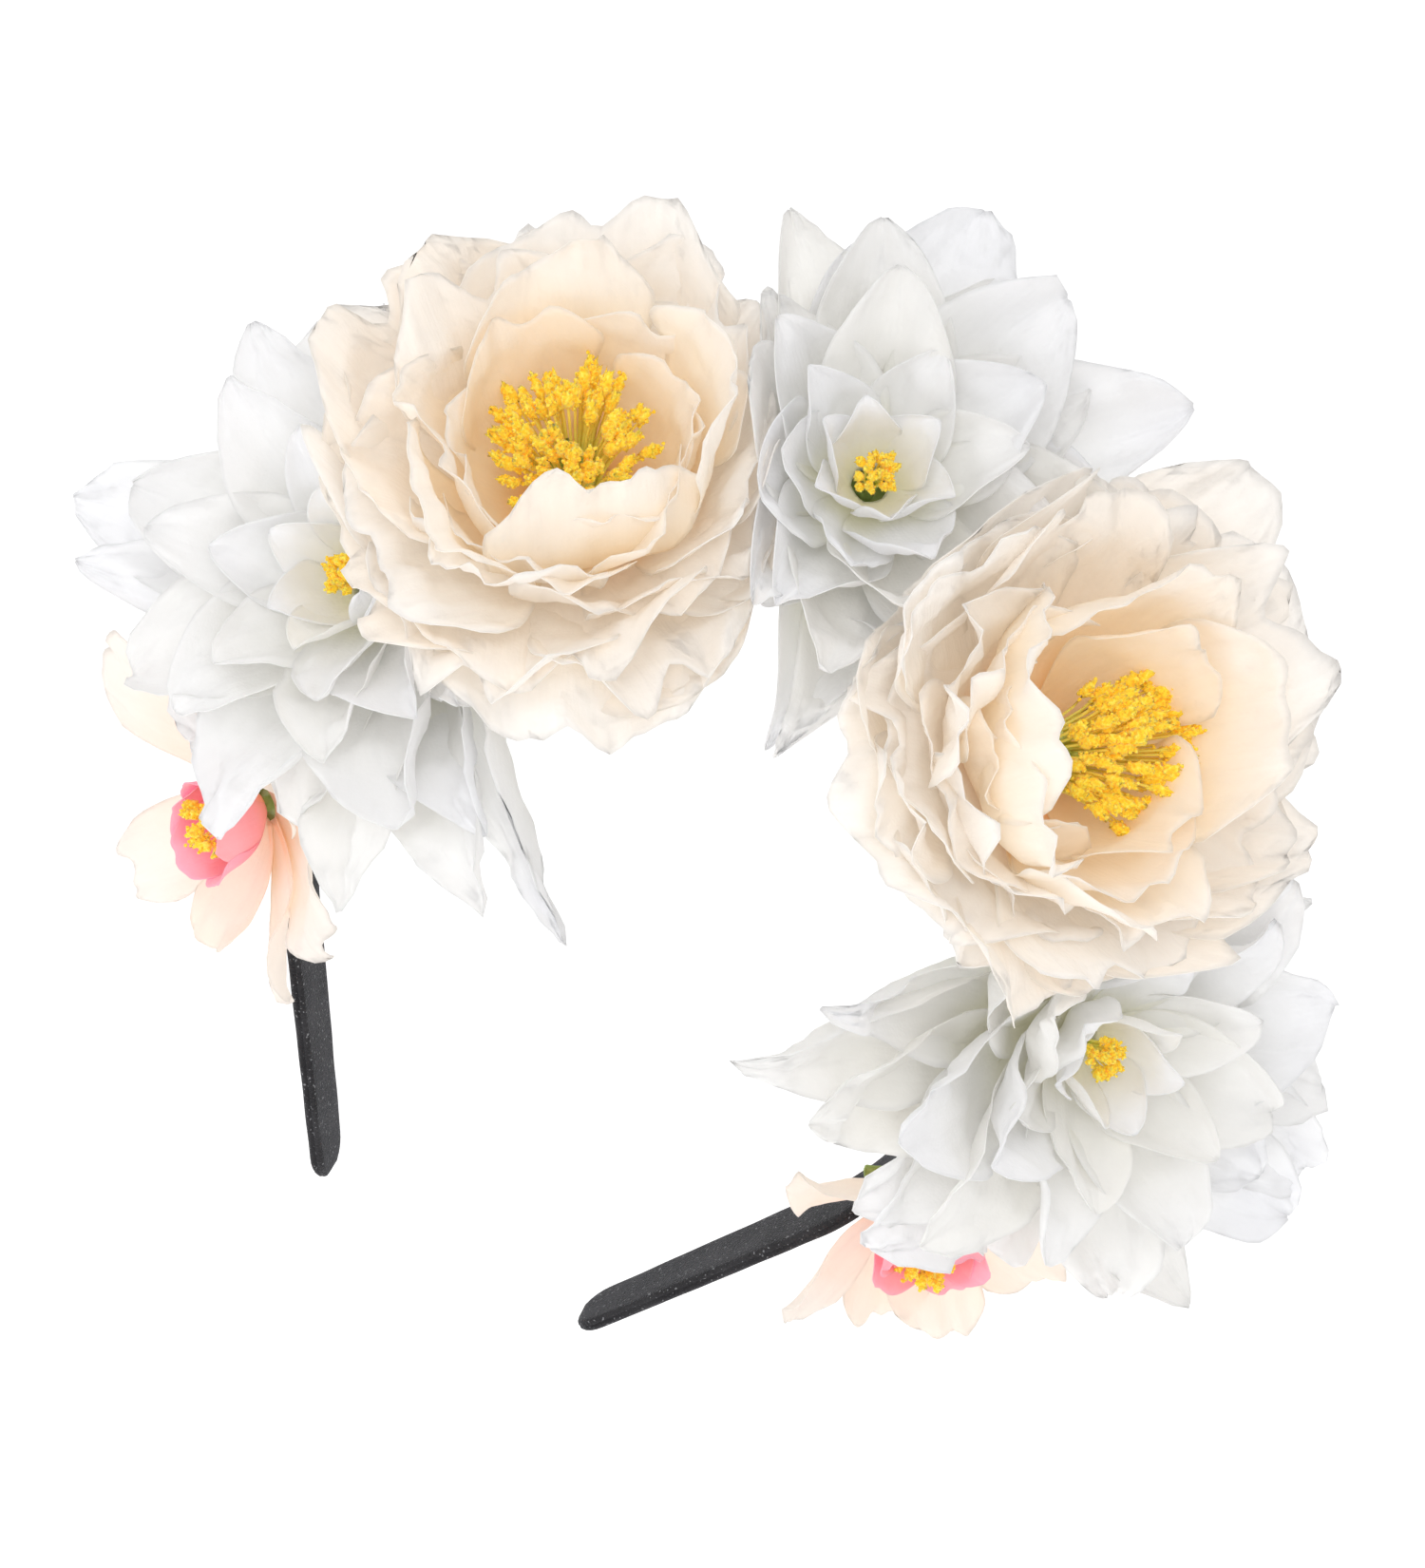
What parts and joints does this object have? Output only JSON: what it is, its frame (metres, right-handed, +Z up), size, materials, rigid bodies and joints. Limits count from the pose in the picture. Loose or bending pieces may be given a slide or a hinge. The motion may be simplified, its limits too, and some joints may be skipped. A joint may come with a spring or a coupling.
{
  "type": "flower crown",
  "caption": "Velvet-covered springy headband with artificial peonies, white dahlias and small coral-centred blossoms along its top and sides.",
  "frame": {"origin": "middle of the band's inner face at the top of the arch, where it rests on the head", "axes": "+Z up as worn, -Y the way the wearer looks and the flowers face, +X to the wearer's left"},
  "size_m": [0.244, 0.0922, 0.2257],
  "materials": {
    "spring_steel": "tempered strip, satin",
    "black_velvet": "short-pile charcoal velvet",
    "grey_felt": "dark felt",
    "hot_glue": "cloudy, waxy",
    "green_plastic": "moulded, matt",
    "ivory_fabric": "stiffened satin, soft sheen",
    "blush_fabric": "stiffened satin, peach dyed",
    "white_fabric": "stiffened polyester, matt",
    "cream_fabric": "stiffened satin, cream",
    "coral_fabric": "stiffened satin, coral dyed",
    "yellow_stamens": "flocked thread tufts",
    "amber_stamens": "flocked tufts"
  },
  "bodies": {
    "crown": {"spring_strip_arch": "spring_steel", "velvet_cover_arch": "black_velvet", "felt_backing": "grey_felt", "hot_glue": "hot_glue", "left_peony_calyx": "green_plastic", "left_peony_outer_petals": "ivory_fabric", "left_peony_middle_petals": "ivory_fabric", "left_peony_inner_petals": "blush_fabric", "left_peony_cup_petals": "blush_fabric", "left_peony_stamens": "yellow_stamens", "left_peony_pistil": "green_plastic", "right_peony_calyx": "green_plastic", "right_peony_outer_petals": "ivory_fabric", "right_peony_middle_petals": "ivory_fabric", "right_peony_inner_petals": "blush_fabric", "right_peony_cup_petals": "blush_fabric", "right_peony_stamens": "yellow_stamens", "right_peony_pistil": "green_plastic", "left_dahlia_calyx": "green_plastic", "left_dahlia_outer_petals": "white_fabric", "left_dahlia_middle_petals": "white_fabric", "left_dahlia_inner_petals": "white_fabric", "left_dahlia_heart_petals": "white_fabric", "left_dahlia_stamens": "amber_stamens", "top_dahlia_calyx": "green_plastic", "top_dahlia_outer_petals": "white_fabric", "top_dahlia_middle_petals": "white_fabric", "top_dahlia_inner_petals": "white_fabric", "top_dahlia_heart_petals": "white_fabric", "top_dahlia_stamens": "amber_stamens", "right_dahlia_calyx": "green_plastic", "right_dahlia_outer_petals": "white_fabric", "right_dahlia_middle_petals": "white_fabric", "right_dahlia_inner_petals": "white_fabric", "right_dahlia_heart_petals": "white_fabric", "right_dahlia_stamens": "amber_stamens", "left_blossom_calyx": "green_plastic", "left_blossom_petals": "cream_fabric", "left_blossom_bell": "coral_fabric", "left_blossom_stamens": "yellow_stamens", "right_blossom_calyx": "green_plastic", "right_blossom_petals": "cream_fabric", "right_blossom_bell": "coral_fabric", "right_blossom_stamens": "yellow_stamens"},
    "left_leg": {"spring_strip_left_leg": "spring_steel", "velvet_cover_left_leg": "black_velvet"},
    "right_leg": {"spring_strip_right_leg": "spring_steel", "velvet_cover_right_leg": "black_velvet"}
  },
  "joints": [
    {"name": "left_leg_flex", "type": "hinge", "parent": "crown", "child": "left_leg", "pos_m": [-0.06176, 0, -0.09135], "axis": [0, 1, 0], "range_deg": [-3, 10], "stiffness_Nm_per_rad": 0.6},
    {"name": "right_leg_flex", "type": "hinge", "parent": "crown", "child": "right_leg", "pos_m": [0.06176, 0, -0.09135], "axis": [0, -1, 0], "range_deg": [-3, 10], "stiffness_Nm_per_rad": 0.6}
  ]
}
